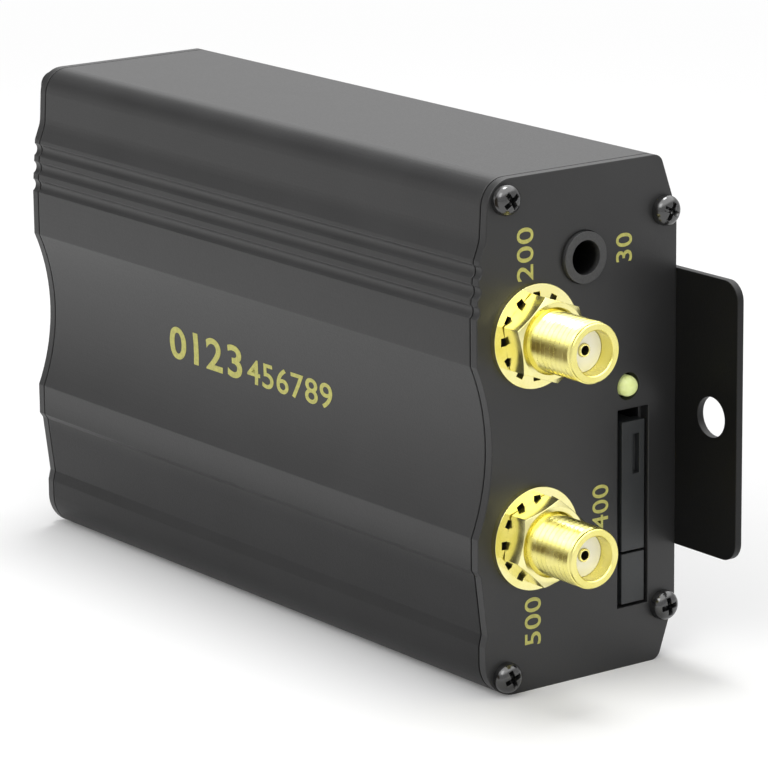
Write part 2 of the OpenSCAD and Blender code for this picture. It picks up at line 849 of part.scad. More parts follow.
// The battery fills the room between the harness pins and the radio board.
module backup_battery() {
    low_x = socket_face + socket_depth + socket_base_t + far_tail + pin_w + battery_gap;
    high_x = radio_board_low_x - link_w;
    points = [
        [low_x, battery_margin],
        [high_x, battery_margin],
        [high_x, case_h - battery_margin],
        [low_x, case_h - battery_margin]
    ];
    radii = [for (i = [0 : 3]) battery_r];
    color("#3f6fb0") along_y(main_board_y - battery_t, battery_t) rounded(points, radii);
}

module filter_capacitor() {
    x = main_board_low_x + capacitor_d;
    z = case_h - wall - 2 * capacitor_d;
    color("#23262b") translate([x, main_back_y, z]) rotate([-90, 0, 0])
        rotate_extrude() difference() {
            square([capacitor_d / 2, capacitor_l]);
            translate([capacitor_d / 2, capacitor_groove]) circle(capacitor_groove / 2);
        }
}

module power_inductor() {
    x = main_board_low_x + inductor_w;
    z = board_low_z + 2 * board_groove;
    points = [[x, z], [x + inductor_w, z], [x + inductor_w, z + inductor_w], [x, z + inductor_w]];
    radii = [for (i = [0 : 3]) can_r];
    color("#4a4c50") along_y(main_back_y, inductor_t) rounded(points, radii);
}

// Draws a harness socket: an open shroud with a keyway in its front wall.
module shroud(pins, z) {
    half_t = socket_t / 2;
    half_h = socket_h(pins) / 2;
    back = socket_face + socket_depth + socket_base_t;
    color("#1d1d20") difference() {
        block([socket_face, socket_y - half_t, z - half_h], [back, socket_y + half_t, z + half_h]);
        block([socket_face - over, socket_y - half_t + socket_wall, z - half_h + socket_wall],
            [socket_face + socket_depth, socket_y + half_t - socket_wall, z + half_h - socket_wall]);
        block([socket_face - over, socket_y - half_t - over, z - socket_key_w / 2],
            [socket_face + socket_depth / 2, socket_y, z + socket_key_w / 2]);
        for (i = [0 : pins - 1], row = [-1, 1]) pin_hole(pins, z, i, row);
    }
}

// The pins of the two rows turn down at two places behind the socket.
near_tail = pin_w;
far_tail = near_tail + 2 * pin_w;

function pin_z(pins, z, i) = z + (i - (pins - 1) / 2) * pin_room_w;
function pin_y(row) = socket_y + row * pin_room_w / 2;

module pin_hole(pins, z, i, row) {
    half_w = pin_w / 2 + board_gap / 2;
    x = socket_face + socket_depth;
    block([x - over, pin_y(row) - half_w, pin_z(pins, z, i) - half_w],
        [x + socket_base_t + over, pin_y(row) + half_w, pin_z(pins, z, i) + half_w]);
}

// Draws the angled pins of a harness socket, which end on the front of the main board.
module shroud_pins(pins, z) {
    tip = socket_face + socket_depth - pin_reach;
    back = socket_face + socket_depth + socket_base_t;
    color("#cdb15a") for (i = [0 : pins - 1], row = [-1, 1]) {
        tail_x = back + (row == 1 ? near_tail : far_tail);
        low = [tip, pin_y(row) - pin_w / 2, pin_z(pins, z, i) - pin_w / 2];
        block(low, [tail_x + pin_w, pin_y(row) + pin_w / 2, pin_z(pins, z, i) + pin_w / 2]);
        block([tail_x, pin_y(row), pin_z(pins, z, i) - pin_w / 2],
            [tail_x + pin_w, main_board_y, pin_z(pins, z, i) + pin_w / 2]);
    }
}

module harness_socket() { shroud(long_pins, long_socket_z); }
module harness_socket_pins() { shroud_pins(long_pins, long_socket_z); }
module relay_socket() { shroud(short_pins, short_socket_z); }
module relay_socket_pins() { shroud_pins(short_pins, short_socket_z); }

// The drawer's housing is a flat box on the back of the main board, open towards the end plate.
module card_housing() {
    low_z = slot_z;
    high_z = slot_z + slot_h;
    pin_y_low = main_back_y + housing_wall;
    color("#b4b8bd") {
        difference() {
            block([housing_back, main_back_y, low_z], [tube_end, slot_y + slot_w, high_z]);
            block([housing_back + housing_wall, pin_y_low, low_z + drawer_gap / 2],
                [tube_end + over, slot_y + slot_w - housing_wall, high_z - drawer_gap / 2]);
            block([drawer_back + card_l / 3, slot_y + slot_w / 2, drawer_z + card_margin],
                [drawer_back + card_l, slot_y + slot_w + over, drawer_z + drawer_h - card_margin]);
        }
        bar_y(pin_y_low, drawer_mid_y + lever_t - pin_y_low, lever_pin_d / 2, lever_x, lever_z);
    }
}

// Shares of the card's length at which its two rows of contacts begin
contact_row_shares = [0.3, 0.7];

// Six spring fingers stand on the housing's floor under the card.
module card_contacts() {
    finger_l = card_l / 5;
    finger_w = card_w / 12;
    finger_t = drawer_mid_y - drawer_plate_t / 2 - main_back_y - housing_wall - lever_gap / 2;
    color("#d4b65a") for (row_share = contact_row_shares, column = [-1, 0, 1]) {
        x = drawer_back + card_margin + card_l * row_share;
        z = card_z + column * card_w / 4;
        y = main_back_y + housing_wall;
        translate([x, y, z]) block([0, 0, -finger_w / 2], [finger_l, finger_t, finger_w / 2]);
    }
}

// The groove for a fingernail in the drawer's face
nail_groove_w = 0.9;
nail_groove_side = 0.4;
nail_groove_shares = [0.59, 0.9];

module card_drawer() {
    half_w = drawer_w / 2;
    plate_y = drawer_mid_y - drawer_plate_t / 2;
    pocket_x = drawer_back + card_margin;
    pocket_half = card_w / 2 + board_gap;
    nail_x = drawer_face - drawer_face_t / 2;
    nail_y = drawer_mid_y + nail_groove_side - nail_groove_w / 2;
    nail_low = drawer_z + drawer_h * nail_groove_shares[0];
    nail_high = drawer_z + drawer_h * nail_groove_shares[1];
    color("#3a3c3c") difference() {
        union() {
            block([drawer_face - drawer_face_t, drawer_mid_y - half_w, drawer_z],
                [drawer_face, drawer_mid_y + half_w, drawer_z + drawer_h]);
            block([drawer_back, plate_y, drawer_z],
                [drawer_face - drawer_face_t / 2, plate_y + drawer_plate_t, drawer_z + drawer_h]);
        }
        block([pocket_x, plate_y - over, card_z - pocket_half],
            [pocket_x + card_l + board_gap, plate_y + card_t, card_z + pocket_half]);
        block([nail_x, nail_y, nail_low], [drawer_face + over, nail_y + nail_groove_w, nail_high]);
    }
}

// The card lies in the drawer with its contacts towards the board and one corner cut off.
module network_card() {
    low_x = drawer_back + card_margin + board_gap / 2;
    plate_y = drawer_mid_y - drawer_plate_t / 2;
    corner = card_w / 6;
    points = [
        [low_x, card_z - card_w / 2],
        [low_x + card_l - corner, card_z - card_w / 2],
        [low_x + card_l, card_z - card_w / 2 + corner],
        [low_x + card_l, card_z + card_w / 2],
        [low_x, card_z + card_w / 2]
    ];
    radii = [corner / 2, 0, 0, corner / 2, corner / 2];
    color("#e8e8e4") along_y(plate_y, card_t) rounded(points, radii);
}

module eject_button() {
    half_w = drawer_w / 2;
    rod_back = lever_x + lever_w / 2 + lever_gap;
    color("#333636") {
        block([drawer_face - drawer_face_t, drawer_mid_y - half_w, button_z],
            [drawer_face, drawer_mid_y + half_w, button_z + button_h]);
        block([rod_back, drawer_mid_y - rod_t / 2, rod_z - rod_w / 2],
            [drawer_face - drawer_face_t / 2, drawer_mid_y + rod_t / 2, rod_z + rod_w / 2]);
    }
}

// The lever turns on the housing's pin, between the button's rod and the back of the drawer.
module eject_lever() {
    color("#9a9da2") along_y(drawer_mid_y - lever_t / 2, lever_t) difference() {
        union() {
            translate([lever_x - lever_w / 2, lever_z - lever_arm]) square([lever_w, 2 * lever_arm]);
            for (side = [-1, 1]) translate([lever_x, lever_z + side * lever_arm]) circle(lever_w / 2);
            translate([lever_x, lever_z]) circle(lever_w * 0.8);
        }
        translate([lever_x, lever_z]) circle(lever_pin_d / 2 + shank_fit);
    }
}

case_extrusion();
connector_end_plate();
harness_end_plate();
mounting_plate();
connector_plate_screws();
harness_plate_screws();
mounting_plate_screws();
gps_socket_shell();
gps_socket_insulator();
gps_socket_contact();
gps_socket_washer();
gps_socket_nut();
gsm_socket_shell();
gsm_socket_insulator();
gsm_socket_contact();
gsm_socket_washer();
gsm_socket_nut();
jack_body();
jack_contacts();
status_lamp();
lamp_leads();
main_board();
radio_board();
board_link_header();
gsm_module();
gps_module();
controller_chip();
backup_battery();
filter_capacitor();
power_inductor();
harness_socket();
harness_socket_pins();
relay_socket();
relay_socket_pins();
card_housing();
card_contacts();
card_drawer();
network_card();
eject_button();
eject_lever();
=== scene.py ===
"""Looks of the vehicle tracker: materials, threads, screw heads, printing, light and camera.

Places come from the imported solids. Lengths are in metres in their frame: X runs towards the
aerial sockets, the wavy front looks along -Y and Z is up.
"""

import json
import math

import bmesh
import bpy
from mathutils import Matrix, Vector


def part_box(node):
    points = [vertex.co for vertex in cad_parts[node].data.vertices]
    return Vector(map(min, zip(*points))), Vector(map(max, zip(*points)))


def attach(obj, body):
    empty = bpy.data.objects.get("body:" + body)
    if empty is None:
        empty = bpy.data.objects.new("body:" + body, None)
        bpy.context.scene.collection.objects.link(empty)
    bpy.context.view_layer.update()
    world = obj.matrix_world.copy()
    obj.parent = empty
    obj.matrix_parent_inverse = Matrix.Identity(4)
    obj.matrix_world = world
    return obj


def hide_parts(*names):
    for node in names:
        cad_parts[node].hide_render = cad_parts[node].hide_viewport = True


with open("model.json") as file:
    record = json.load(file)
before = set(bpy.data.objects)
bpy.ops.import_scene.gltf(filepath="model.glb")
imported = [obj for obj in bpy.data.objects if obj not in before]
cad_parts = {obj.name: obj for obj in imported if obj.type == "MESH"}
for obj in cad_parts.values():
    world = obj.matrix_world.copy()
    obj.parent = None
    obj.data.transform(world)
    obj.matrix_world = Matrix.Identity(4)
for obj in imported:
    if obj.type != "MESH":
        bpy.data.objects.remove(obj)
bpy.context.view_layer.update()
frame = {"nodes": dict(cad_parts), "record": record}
NODES = frame["nodes"]
MM = 0.001

CASE = "tracker_case"
PLATE_BACK, PLATE_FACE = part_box("connector_end_plate")[0].x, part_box("connector_end_plate")[1].x
JACK_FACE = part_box("jack_body")[1].x
SOCKETS = ("gps", "gsm")


# Node helpers

# Colour sockets of a Mix node
MIX_A, MIX_B, MIX_RESULT = 6, 7, 2
EDGE_SAMPLES = 6


def material(name):
    """Makes a material and returns it with the helper of its node tree."""
    mat = bpy.data.materials.new(name)
    mat.use_nodes = True
    return mat, Graph(mat.node_tree)


class Graph:
    """Short calls for building a node tree."""

    def __init__(self, tree):
        self.tree = tree
        self.tree.nodes.clear()

    def add(self, kind, inputs=None, **props):
        """Adds a node with its properties and inputs; an input is a value or another node's output."""
        node = self.tree.nodes.new(kind)
        for key, value in props.items():
            setattr(node, key, value)
        for key, value in (inputs or {}).items():
            self.set(node, key, value)
        return node

    def set(self, node, key, value):
        if isinstance(value, bpy.types.NodeSocket):
            self.tree.links.new(value, node.inputs[key])
        else:
            node.inputs[key].default_value = value

    def math(self, operation, a, b):
        return self.add("ShaderNodeMath", {0: a, 1: b}, operation=operation).outputs[0]

    def range(self, value, low, high, to_low=0.0, to_high=1.0, smooth=False):
        """Maps a value from one span to another, clamped at both ends."""
        kind = "SMOOTHSTEP" if smooth else "LINEAR"
        inputs = {"Value": value, "From Min": low, "From Max": high, "To Min": to_low, "To Max": to_high}
        return self.add("ShaderNodeMapRange", inputs, interpolation_type=kind).outputs["Result"]

    def place(self, scale=(1, 1, 1), turn=(0, 0, 0)):
        """Object coordinates, which are the frame's own metres."""
        where = self.add("ShaderNodeTexCoord").outputs["Object"]
        return self.add("ShaderNodeMapping", {"Vector": where, "Scale": scale, "Rotation": turn}).outputs[0]

    def noise(self, vector, scale, detail=3.0, rough=0.55):
        inputs = {"Vector": vector, "Scale": scale, "Detail": detail, "Roughness": rough}
        return self.add("ShaderNodeTexNoise", inputs).outputs["Fac"]

    def mix(self, share, a, b, blend="MIX"):
        """Mixes two colours."""
        node = self.add("ShaderNodeMix", data_type="RGBA", blend_type=blend)
        self.set(node, "Factor", share)
        self.set(node, MIX_A, a)
        self.set(node, MIX_B, b)
        return node.outputs[MIX_RESULT]

    def mix_shaders(self, share, a, b):
        return self.add("ShaderNodeMixShader", {0: share, 1: a, 2: b}).outputs[0]

    def shine(self, colour, kind="ShaderNodeEmission"):
        """A shader that gives off a colour as it is."""
        return self.add(kind, {"Color": colour, "Strength": 1.0}).outputs[0]

    def vector(self, operation, a, b=(0.0, 0.0, 0.0), result="Vector"):
        return self.add("ShaderNodeVectorMath", {0: a, 1: b}, operation=operation).outputs[result]

    def bump(self, height, distance, strength=1.0, normal=None):
        inputs = {"Height": height, "Distance": distance, "Strength": strength}
        if normal is not None:
            inputs["Normal"] = normal
        return self.add("ShaderNodeBump", inputs).outputs[0]

    def edge(self, radius):
        """Normals that round an edge off for the light."""
        return self.add("ShaderNodeBevel", {"Radius": radius}, samples=EDGE_SAMPLES).outputs[0]

    def toward(self, direction):
        """How far a world direction agrees with the given one, as a cosine."""
        where = self.add("ShaderNodeTexCoord").outputs["Generated"]
        return self.vector("DOT_PRODUCT", where, tuple(Vector(direction).normalized()), "Value")

    def surface(self, **values):
        """Ends a material in a Principled shader with the given inputs."""
        node = self.add("ShaderNodeBsdfPrincipled")
        for key, value in values.items():
            self.set(node, key.replace("_", " "), value)
        self.add("ShaderNodeOutputMaterial", {0: node.outputs[0]})
        return node


def grey(value, tint=(1.0, 1.0, 1.0)):
    """A neutral colour, or one with a slight tint."""
    return (value * tint[0], value * tint[1], value * tint[2], 1.0)


def shade(base, *factors):
    """A colour times one factor, or a factor for each channel."""
    each = factors if len(factors) > 1 else factors * 3
    return tuple(min(1.0, c * f) for c, f in zip(base, each)) + (1.0,)


# Nearly all of a noise lies in this span, and most of it in the middle one
NOISE_SPAN, NOISE_MIDDLE = (0.3, 0.7), (0.35, 0.65)
COOL = (1.0, 1.0, 1.02)

# Black coating: scales of its cloud and draw lines, the tones between them and the mottle of its gloss
COAT_CLOUD, COAT_DRAWN, COAT_STRETCH = 90.0, 5200.0, (0.012, 1, 1)
COAT_DARK, COAT_PALE = 0.82, 1.2
MOTTLE_SHARE, MOTTLE_SPAN = 0.6, (0.4, 1.2)
SMOOTHER, ROUGHER = 0.05, 0.06
# Painted shade: the case reflects less near its foot; between these heights its gloss rises
FOOT_SHADE_LOW_Z, FOOT_SHADE_HIGH_Z = 11.5 * MM, 17.0 * MM
FOOT_SHADE_GLOSS, UNSHADED_GLOSS = 0.21, 0.56


def coated_metal(name, base, rough, grain, depth, lines=0.0, edge=0.18 * MM, ior=1.5, shaded_foot=False):
    """Black anodised or painted metal: fine grain, draw lines along X and a cloudy tone."""
    mat, g = material(name)
    here = g.place()
    speck = g.noise(here, grain, 4.0, 0.6)
    cloud = g.noise(here, COAT_CLOUD, 3.0, 0.5)
    drawn = g.noise(g.place(COAT_STRETCH), COAT_DRAWN, 2.0, 0.5)
    colour = g.mix(g.range(cloud, *NOISE_SPAN), grey(base * COAT_DARK, COOL), grey(base * COAT_PALE, COOL))
    relief = g.math("ADD", speck, g.math("MULTIPLY", drawn, lines))
    normal = g.bump(relief, depth, 1.0, g.edge(edge))
    mottle = g.math("ADD", speck, g.math("MULTIPLY", cloud, MOTTLE_SHARE))
    roughness = g.range(mottle, *MOTTLE_SPAN, rough - SMOOTHER, rough + ROUGHER)
    shader = g.surface(Base_Color=colour, Roughness=roughness, Normal=normal, IOR=ior)
    # Painted shade: near the foot the specular level drops, so the foot reflects less and looks darker
    if shaded_foot:
        height = g.add("ShaderNodeSeparateXYZ", {"Vector": here}).outputs["Z"]
        gloss = g.range(height, FOOT_SHADE_LOW_Z, FOOT_SHADE_HIGH_Z, FOOT_SHADE_GLOSS, UNSHADED_GLOSS, smooth=True)
        g.set(shader, "Specular IOR Level", gloss)
    return mat


GOLD_CLOUD, GOLD_MARKS, GOLD_STRETCH = 420.0, 9000.0, (0.2, 1, 1)
GOLD_DEEP, GOLD_PALE = (0.97, 0.96, 0.85), (1.04, 1.04, 1.15)
GOLD_MARK_DEPTH, GOLD_MARK_SHARE = 0.004 * MM, 0.6
METAL_EDGE = 0.08 * MM


def gold(name, base=(0.9, 0.84, 0.38), rough=0.2):
    """Bright gold plating with faint cloudiness and tool marks."""
    mat, g = material(name)
    cloud = g.noise(g.place(), GOLD_CLOUD, 3.0, 0.6)
    marks = g.noise(g.place(GOLD_STRETCH), GOLD_MARKS, 2.0, 0.5)
    colour = g.mix(g.range(cloud, *NOISE_MIDDLE), shade(base, *GOLD_DEEP), shade(base, *GOLD_PALE))
    normal = g.bump(marks, GOLD_MARK_DEPTH, GOLD_MARK_SHARE, g.edge(METAL_EDGE))
    roughness = g.range(cloud, *NOISE_SPAN, rough - SMOOTHER, rough + ROUGHER)
    g.surface(Base_Color=colour, Metallic=1.0, Roughness=roughness, Normal=normal)
    return mat


PLASTIC_CLOUD, PLASTIC_EDGE = 160.0, 0.1 * MM


def plastic(name, base, rough=0.5, grain=5000.0, depth=0.008 * MM, spread=0.12):
    """Moulded plastic with a fine spark-eroded skin."""
    mat, g = material(name)
    speck = g.noise(g.place(), grain, 3.0, 0.6)
    cloud = g.noise(g.place(), PLASTIC_CLOUD, 2.0, 0.5)
    colour = g.mix(g.range(cloud, *NOISE_SPAN), shade(base, 1 - spread), shade(base, 1 + spread))
    normal = g.bump(speck, depth, 1.0, g.edge(PLASTIC_EDGE))
    roughness = g.range(speck, *NOISE_SPAN, rough - ROUGHER, rough + ROUGHER)
    g.surface(Base_Color=colour, Roughness=roughness, Normal=normal)
    return mat


# Painted shade: the jack's bore is painted dark between these depths behind its face
JACK_SHADE_START_DEPTH, JACK_SHADE_FULL_DEPTH = 0.1 * MM, 0.9 * MM
JACK_GRAIN, JACK_GRAIN_DEPTH = 4600.0, 0.01 * MM
JACK_ROUGH = 0.4


def jack_plastic(name):
    """Grey moulded collar whose bore is painted dark as shade a little way in."""
    mat, g = material(name)
    here = g.place()
    speck = g.noise(here, JACK_GRAIN, 3.0, 0.6)
    where = g.add("ShaderNodeSeparateXYZ", {"Vector": here}).outputs["X"]
    unshaded = g.range(where, JACK_FACE - JACK_SHADE_FULL_DEPTH, JACK_FACE - JACK_SHADE_START_DEPTH, smooth=True)
    collar = g.mix(g.range(speck, *NOISE_SPAN), grey(0.032, COOL), grey(0.052, COOL))
    # Painted shade: deeper in the bore the colour runs to near black
    colour = g.mix(unshaded, grey(0.004), collar)
    normal = g.bump(speck, JACK_GRAIN_DEPTH, 1.0, g.edge(PLASTIC_EDGE))
    roughness = g.range(speck, *NOISE_SPAN, JACK_ROUGH - ROUGHER, JACK_ROUGH + ROUGHER)
    g.surface(Base_Color=colour, Roughness=roughness, Normal=normal)
    return mat


TIN_BRUSHED, TIN_STRETCH, TIN_CLOUD = 4000.0, (0.05, 1, 1), 260.0
TIN_DARK, TIN_PALE = 0.85, 1.12
TIN_DEPTH = 0.003 * MM
TIN_SMOOTHER, TIN_ROUGHER = 0.08, 0.1


def tin(name, base=0.58, rough=0.32):
    """Tinned sheet: brushed along X with a dull cloud."""
    mat, g = material(name)
    brushed = g.noise(g.place(TIN_STRETCH), TIN_BRUSHED, 3.0, 0.6)
    cloud = g.noise(g.place(), TIN_CLOUD, 3.0, 0.6)
    colour = g.mix(g.range(cloud, *NOISE_SPAN), grey(base * TIN_DARK), grey(base * TIN_PALE))
    normal = g.bump(brushed, TIN_DEPTH, 1.0, g.edge(METAL_EDGE))
    roughness = g.range(cloud, *NOISE_SPAN, rough - TIN_SMOOTHER, rough + TIN_ROUGHER)
    g.surface(Base_Color=colour, Metallic=1.0, Roughness=roughness, Normal=normal)
    return mat


TRACK_SCALE, TRACK_WIDTH, TRACK_OFFSET, TRACK_DEPTH = 260.0, 0.035, 0.37, 0.015 * MM
DOT_SCALE, DOT_REACH = 520.0, (0.14, 0.17)
MASK_GREEN, TRACK_GREEN, DOT_TIN = (0.012, 0.11, 0.04, 1.0), (0.03, 0.2, 0.075, 1.0), (0.55, 0.52, 0.42, 1.0)
MASK_CLOUD, MASK_ROUGH = 900.0, (0.28, 0.4)


def green_board(name):
    """Solder mask over copper tracks, with pale plated dots."""
    mat, g = material(name)
    here = g.place()
    tracks = g.add("ShaderNodeTexBrick", {
        "Vector": g.place(turn=(math.radians(90), 0, 0)), "Scale": TRACK_SCALE, "Mortar Size": TRACK_WIDTH,
        "Color1": grey(0.0), "Color2": grey(0.0), "Mortar": grey(1.0)}, offset=TRACK_OFFSET, squash=1.0)
    cells = g.add("ShaderNodeTexVoronoi", {"Vector": here, "Scale": DOT_SCALE}, feature="F1")
    dots = g.range(cells.outputs["Distance"], *DOT_REACH, 1.0, 0.0)
    colour = g.mix(dots, g.mix(tracks.outputs["Fac"], MASK_GREEN, TRACK_GREEN), DOT_TIN)
    normal = g.bump(tracks.outputs["Fac"], TRACK_DEPTH)
    roughness = g.range(g.noise(here, MASK_CLOUD), *NOISE_SPAN, *MASK_ROUGH)
    g.surface(Base_Color=colour, Roughness=roughness, Normal=normal)
    return mat


LENS_CLOUD, LENS_ROUGH = 1500.0, (0.16, 0.24)
LENS_DEEP, LENS_PALE = (0.6, 0.68, 0.25, 1.0), (0.68, 0.75, 0.34, 1.0)
GLOW_DEEP, GLOW_PALE, GLOW_LEVEL = (0.72, 0.8, 0.3, 1.0), (0.8, 0.88, 0.42, 1.0), 0.22


def lamp_lens(name):
    """Pale yellow-green diffuse lens, lit from inside."""
    mat, g = material(name)
    cloud = g.noise(g.place(), LENS_CLOUD, 2.0, 0.5)
    share = g.range(cloud, *NOISE_SPAN)
    roughness = g.range(cloud, *NOISE_SPAN, *LENS_ROUGH)
    g.surface(Base_Color=g.mix(share, LENS_DEEP, LENS_PALE), Roughness=roughness,
              Emission_Color=g.mix(share, GLOW_DEEP, GLOW_PALE), Emission_Strength=GLOW_LEVEL)
    return mat


INK_CLOUD, INK_DEPTH, INK_THIN, INK_ROUGH = 2600.0, 0.006 * MM, 0.74, (0.45, 0.6)
INK_COVER = (0.35, 0.62)


def ink(name, base):
    """Yellow screen print: slightly uneven cover."""
    mat, g = material(name)
    cloud = g.noise(g.place(), INK_CLOUD, 4.0, 0.65)
    colour = g.mix(g.range(cloud, *INK_COVER), shade(base, INK_THIN), shade(base, 1.0))
    normal = g.bump(cloud, INK_DEPTH)
    roughness = g.range(cloud, *NOISE_SPAN, *INK_ROUGH)
    g.surface(Base_Color=colour, Roughness=roughness, Normal=normal)
    return mat


MATERIALS = {
    "black_case": coated_metal("case_black", 0.014, 0.4, 4200.0, 0.016 * MM, lines=0.5, shaded_foot=True),
    "black_plate": coated_metal("plate_black", 0.016, 0.4, 5200.0, 0.012 * MM),
    "black_bracket": coated_metal("bracket_black", 0.003, 0.46, 3600.0, 0.014 * MM, ior=1.38),
    "black_screw": coated_metal("screw_black", 0.01, 0.16, 6000.0, 0.003 * MM, edge=0.06 * MM, ior=1.8),
    "gold": gold("gold_plate"),
    "cream_insulator": plastic("insulator_white", (0.96, 0.95, 0.9), 0.35, 4000.0, 0.003 * MM, 0.02),
    "black_plastic": plastic("plastic_black", (0.02, 0.02, 0.022), 0.42),
    "tin": tin("tin_sheet"),
    "lamp_lens": lamp_lens("lamp_pale"),
    "green_board": green_board("board_green"),
    "battery_wrap": plastic("battery_film", (0.05, 0.13, 0.36), 0.25, 700.0, 0.02 * MM),
    "grey_ferrite": plastic("ferrite_grey", (0.09, 0.09, 0.095), 0.7, 2600.0, 0.025 * MM, 0.25),
    "grey_plastic": plastic("plastic_grey", (0.022, 0.024, 0.025), 0.45, 4600.0, 0.014 * MM),
    "white_card": plastic("card_white", (0.74, 0.74, 0.71), 0.4, 3000.0, 0.004 * MM, 0.05),
}
INK = ink("print_yellow", (0.5, 0.48, 0.12))
BARREL_GOLD = gold("gold_barrel", (0.84, 0.77, 0.26), 0.26)
# Painted shade: a near-black gold for the inside of the contacts' holes
SHADED_HOLE_GOLD = gold("gold_hole_painted_shade", (0.05, 0.045, 0.03), 0.6)
# Painted shade: a dark tin for the card holder, which sits in the shade of its slot
SHADED_TIN = tin("tin_painted_shade", 0.1, 0.5)
JACK_GREY = jack_plastic("jack_grey")


def dress_nodes():
    """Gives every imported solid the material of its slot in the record."""
    for part in frame["record"]["subparts"]:
        obj = NODES[part["node"]]
        obj.data.materials.clear()
        obj.data.materials.append(MATERIALS[part["material_slot"]])
    NODES["jack_body"].data.materials[0] = JACK_GREY
    # The card holder gets the tin painted dark as shade
    NODES["card_housing"].data.materials[0] = SHADED_TIN


# Mesh helpers

def add_object(name, mesh, paint):
    """Links a mesh as a piece that rides on the case."""
    obj = bpy.data.objects.new(name, mesh)
    bpy.context.scene.collection.objects.link(obj)
    mesh.materials.clear()
    mesh.materials.append(paint)
    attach(obj, CASE)
    return obj


MERGE_GAP = 0.001 * MM


def finish_mesh(name, bm, slot, smooth_angle=35.0, paint=None):
    """Turns a bmesh into a piece with the slot's material, smooth below the given angle."""
    bmesh.ops.remove_doubles(bm, verts=bm.verts, dist=MERGE_GAP)
    bmesh.ops.recalc_face_normals(bm, faces=bm.faces)
    mesh = bpy.data.meshes.new(name)
    bm.to_mesh(mesh)
    bm.free()
    mesh.shade_smooth()
    mesh.set_sharp_from_angle(angle=math.radians(smooth_angle))
    return add_object(name, mesh, paint or MATERIALS[slot])


def ring_at(bm, x, radius, middle, sides):
    """Adds one ring round an axis along X; x and radius may be numbers or functions of the angle."""
    ring = []
    for i in range(sides):
        a = 2 * math.pi * i / sides
        r = radius(a) if callable(radius) else radius
        here = x(a) if callable(x) else x
        ring.append(bm.verts.new((here, middle[0] + r * math.cos(a), middle[1] + r * math.sin(a))))
    return ring


def join_rings(bm, a, b):
    """Joins two rings with a band of faces."""
    n = len(a)
    for i in range(n):
        bm.faces.new([a[i], a[(i + 1) % n], b[(i + 1) % n], b[i]])


def cap_ring(bm, ring, x, middle):
    """Closes a ring with a fan to one point on the axis."""
    tip = bm.verts.new((x, middle[0], middle[1]))
    for i in range(len(ring)):
        bm.faces.new([ring[i], ring[(i + 1) % len(ring)], tip])


def lathe(bm, profile, middle, sides=64, closed=True):
    """Turns a profile of (x, radius) pairs round an axis along X through middle (y, z)."""
    rings = [ring_at(bm, x, r, middle, sides) for x, r in profile]
    for a, b in zip(rings, rings[1:]):
        join_rings(bm, a, b)
    if closed:
        join_rings(bm, rings[-1], rings[0])
    return rings


def box(bm, low, high):
    """Adds a block between two corners."""
    spots = [(x, y, z) for x in (low[0], high[0]) for y in (low[1], high[1]) for z in (low[2], high[2])]
    v = [bm.verts.new(p) for p in spots]
    for quad in ((0, 1, 3, 2), (4, 6, 7, 5), (0, 4, 5, 1), (2, 3, 7, 6), (0, 2, 6, 4), (1, 5, 7, 3)):
        bm.faces.new([v[i] for i in quad])


def middle_of(node):
    """The middle (y, z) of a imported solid's box."""
    low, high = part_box(node)
    return ((low.y + high.y) / 2, (low.z + high.z) / 2)


# Aerial sockets

BARREL_R = 3.175 * MM
THREAD_ROOT_R = 2.93 * MM
THREAD_PITCH = 0.7056 * MM
# Places in a turn, as shares of the pitch, and whether each is on the crest
THREAD_PHASES = ((0.02, 1), (0.08, 1), (0.84, 0))
THREAD_SIDES = 96
LEAD_IN = 0.35 * MM
MOUTH_R, MOUTH_STEP, MOUTH_CHAMFER = 3.06 * MM, 0.02 * MM, 0.1 * MM
BARREL_BORE_R = 2.3 * MM
BORE_CHAMFER = 0.12 * MM
BORE_DEPTH = 3.2 * MM
CORE_R, CORE_BORE_R, CORE_SIDES = 2.8575 * MM, 0.5 * MM, 48
REAR_BLOCK_L, REAR_BLOCK_SHARE = 3.5 * MM, 1.1
HALF_BOARD_T = 0.8 * MM


def thread_rows(start, end):
    """Lists the thread's phases in order along X, from well before the start to well past the end."""
    turns = math.ceil((end - start) / THREAD_PITCH) + 1
    return [(k + phase, crest) for k in range(-2, turns) for phase, crest in THREAD_PHASES]


def threaded_barrel(bm, start, end, middle):
    """Winds a trapezoid thread between two places; both ends run out at the root."""
    rows = []
    for turn, crest in thread_rows(start, end):
        ring = []
        for i in range(THREAD_SIDES):
            x = start + (turn + i / THREAD_SIDES) * THREAD_PITCH
            inside = start < x < end
            r = BARREL_R if crest and inside else THREAD_ROOT_R
            a = 2 * math.pi * i / THREAD_SIDES
            x = min(max(x, start), end)
            ring.append(bm.verts.new((x, middle[0] + r * math.cos(a), middle[1] + r * math.sin(a))))
        rows.append(ring)
    for a, b in zip(rows, rows[1:]):
        for i in range(THREAD_SIDES - 1):
            bm.faces.new([a[i], a[i + 1], b[i + 1], b[i]])
    shift = len(THREAD_PHASES)
    for k in range(len(rows) - 1 - shift):
        last, first = THREAD_SIDES - 1, 0
        bm.faces.new([rows[k][last], rows[k + shift][first], rows[k + shift + 1][first], rows[k + 1][last]])


def socket_rear(bm, foot, middle):
    """Adds the square block behind the end plate and its four lugs, which hold the board's edge."""
    block_x = PLATE_BACK - REAR_BLOCK_L
    half = BARREL_R * REAR_BLOCK_SHARE
    box(bm, (block_x, middle[0] - half, middle[1] - half), (PLATE_BACK, middle[0] + half, middle[1] + half))
    lug_t = (half - HALF_BOARD_T) / 2
    lug_w = half / 2
    for row in (-1, 1):
        for side in (-1, 1):
            y = middle[0] + row * (HALF_BOARD_T + lug_t / 2)
            z = middle[1] + side * (half - lug_w / 2)
            box(bm, (foot, y - lug_t / 2, z - lug_w / 2), (block_x, y + lug_t / 2, z + lug_w / 2))


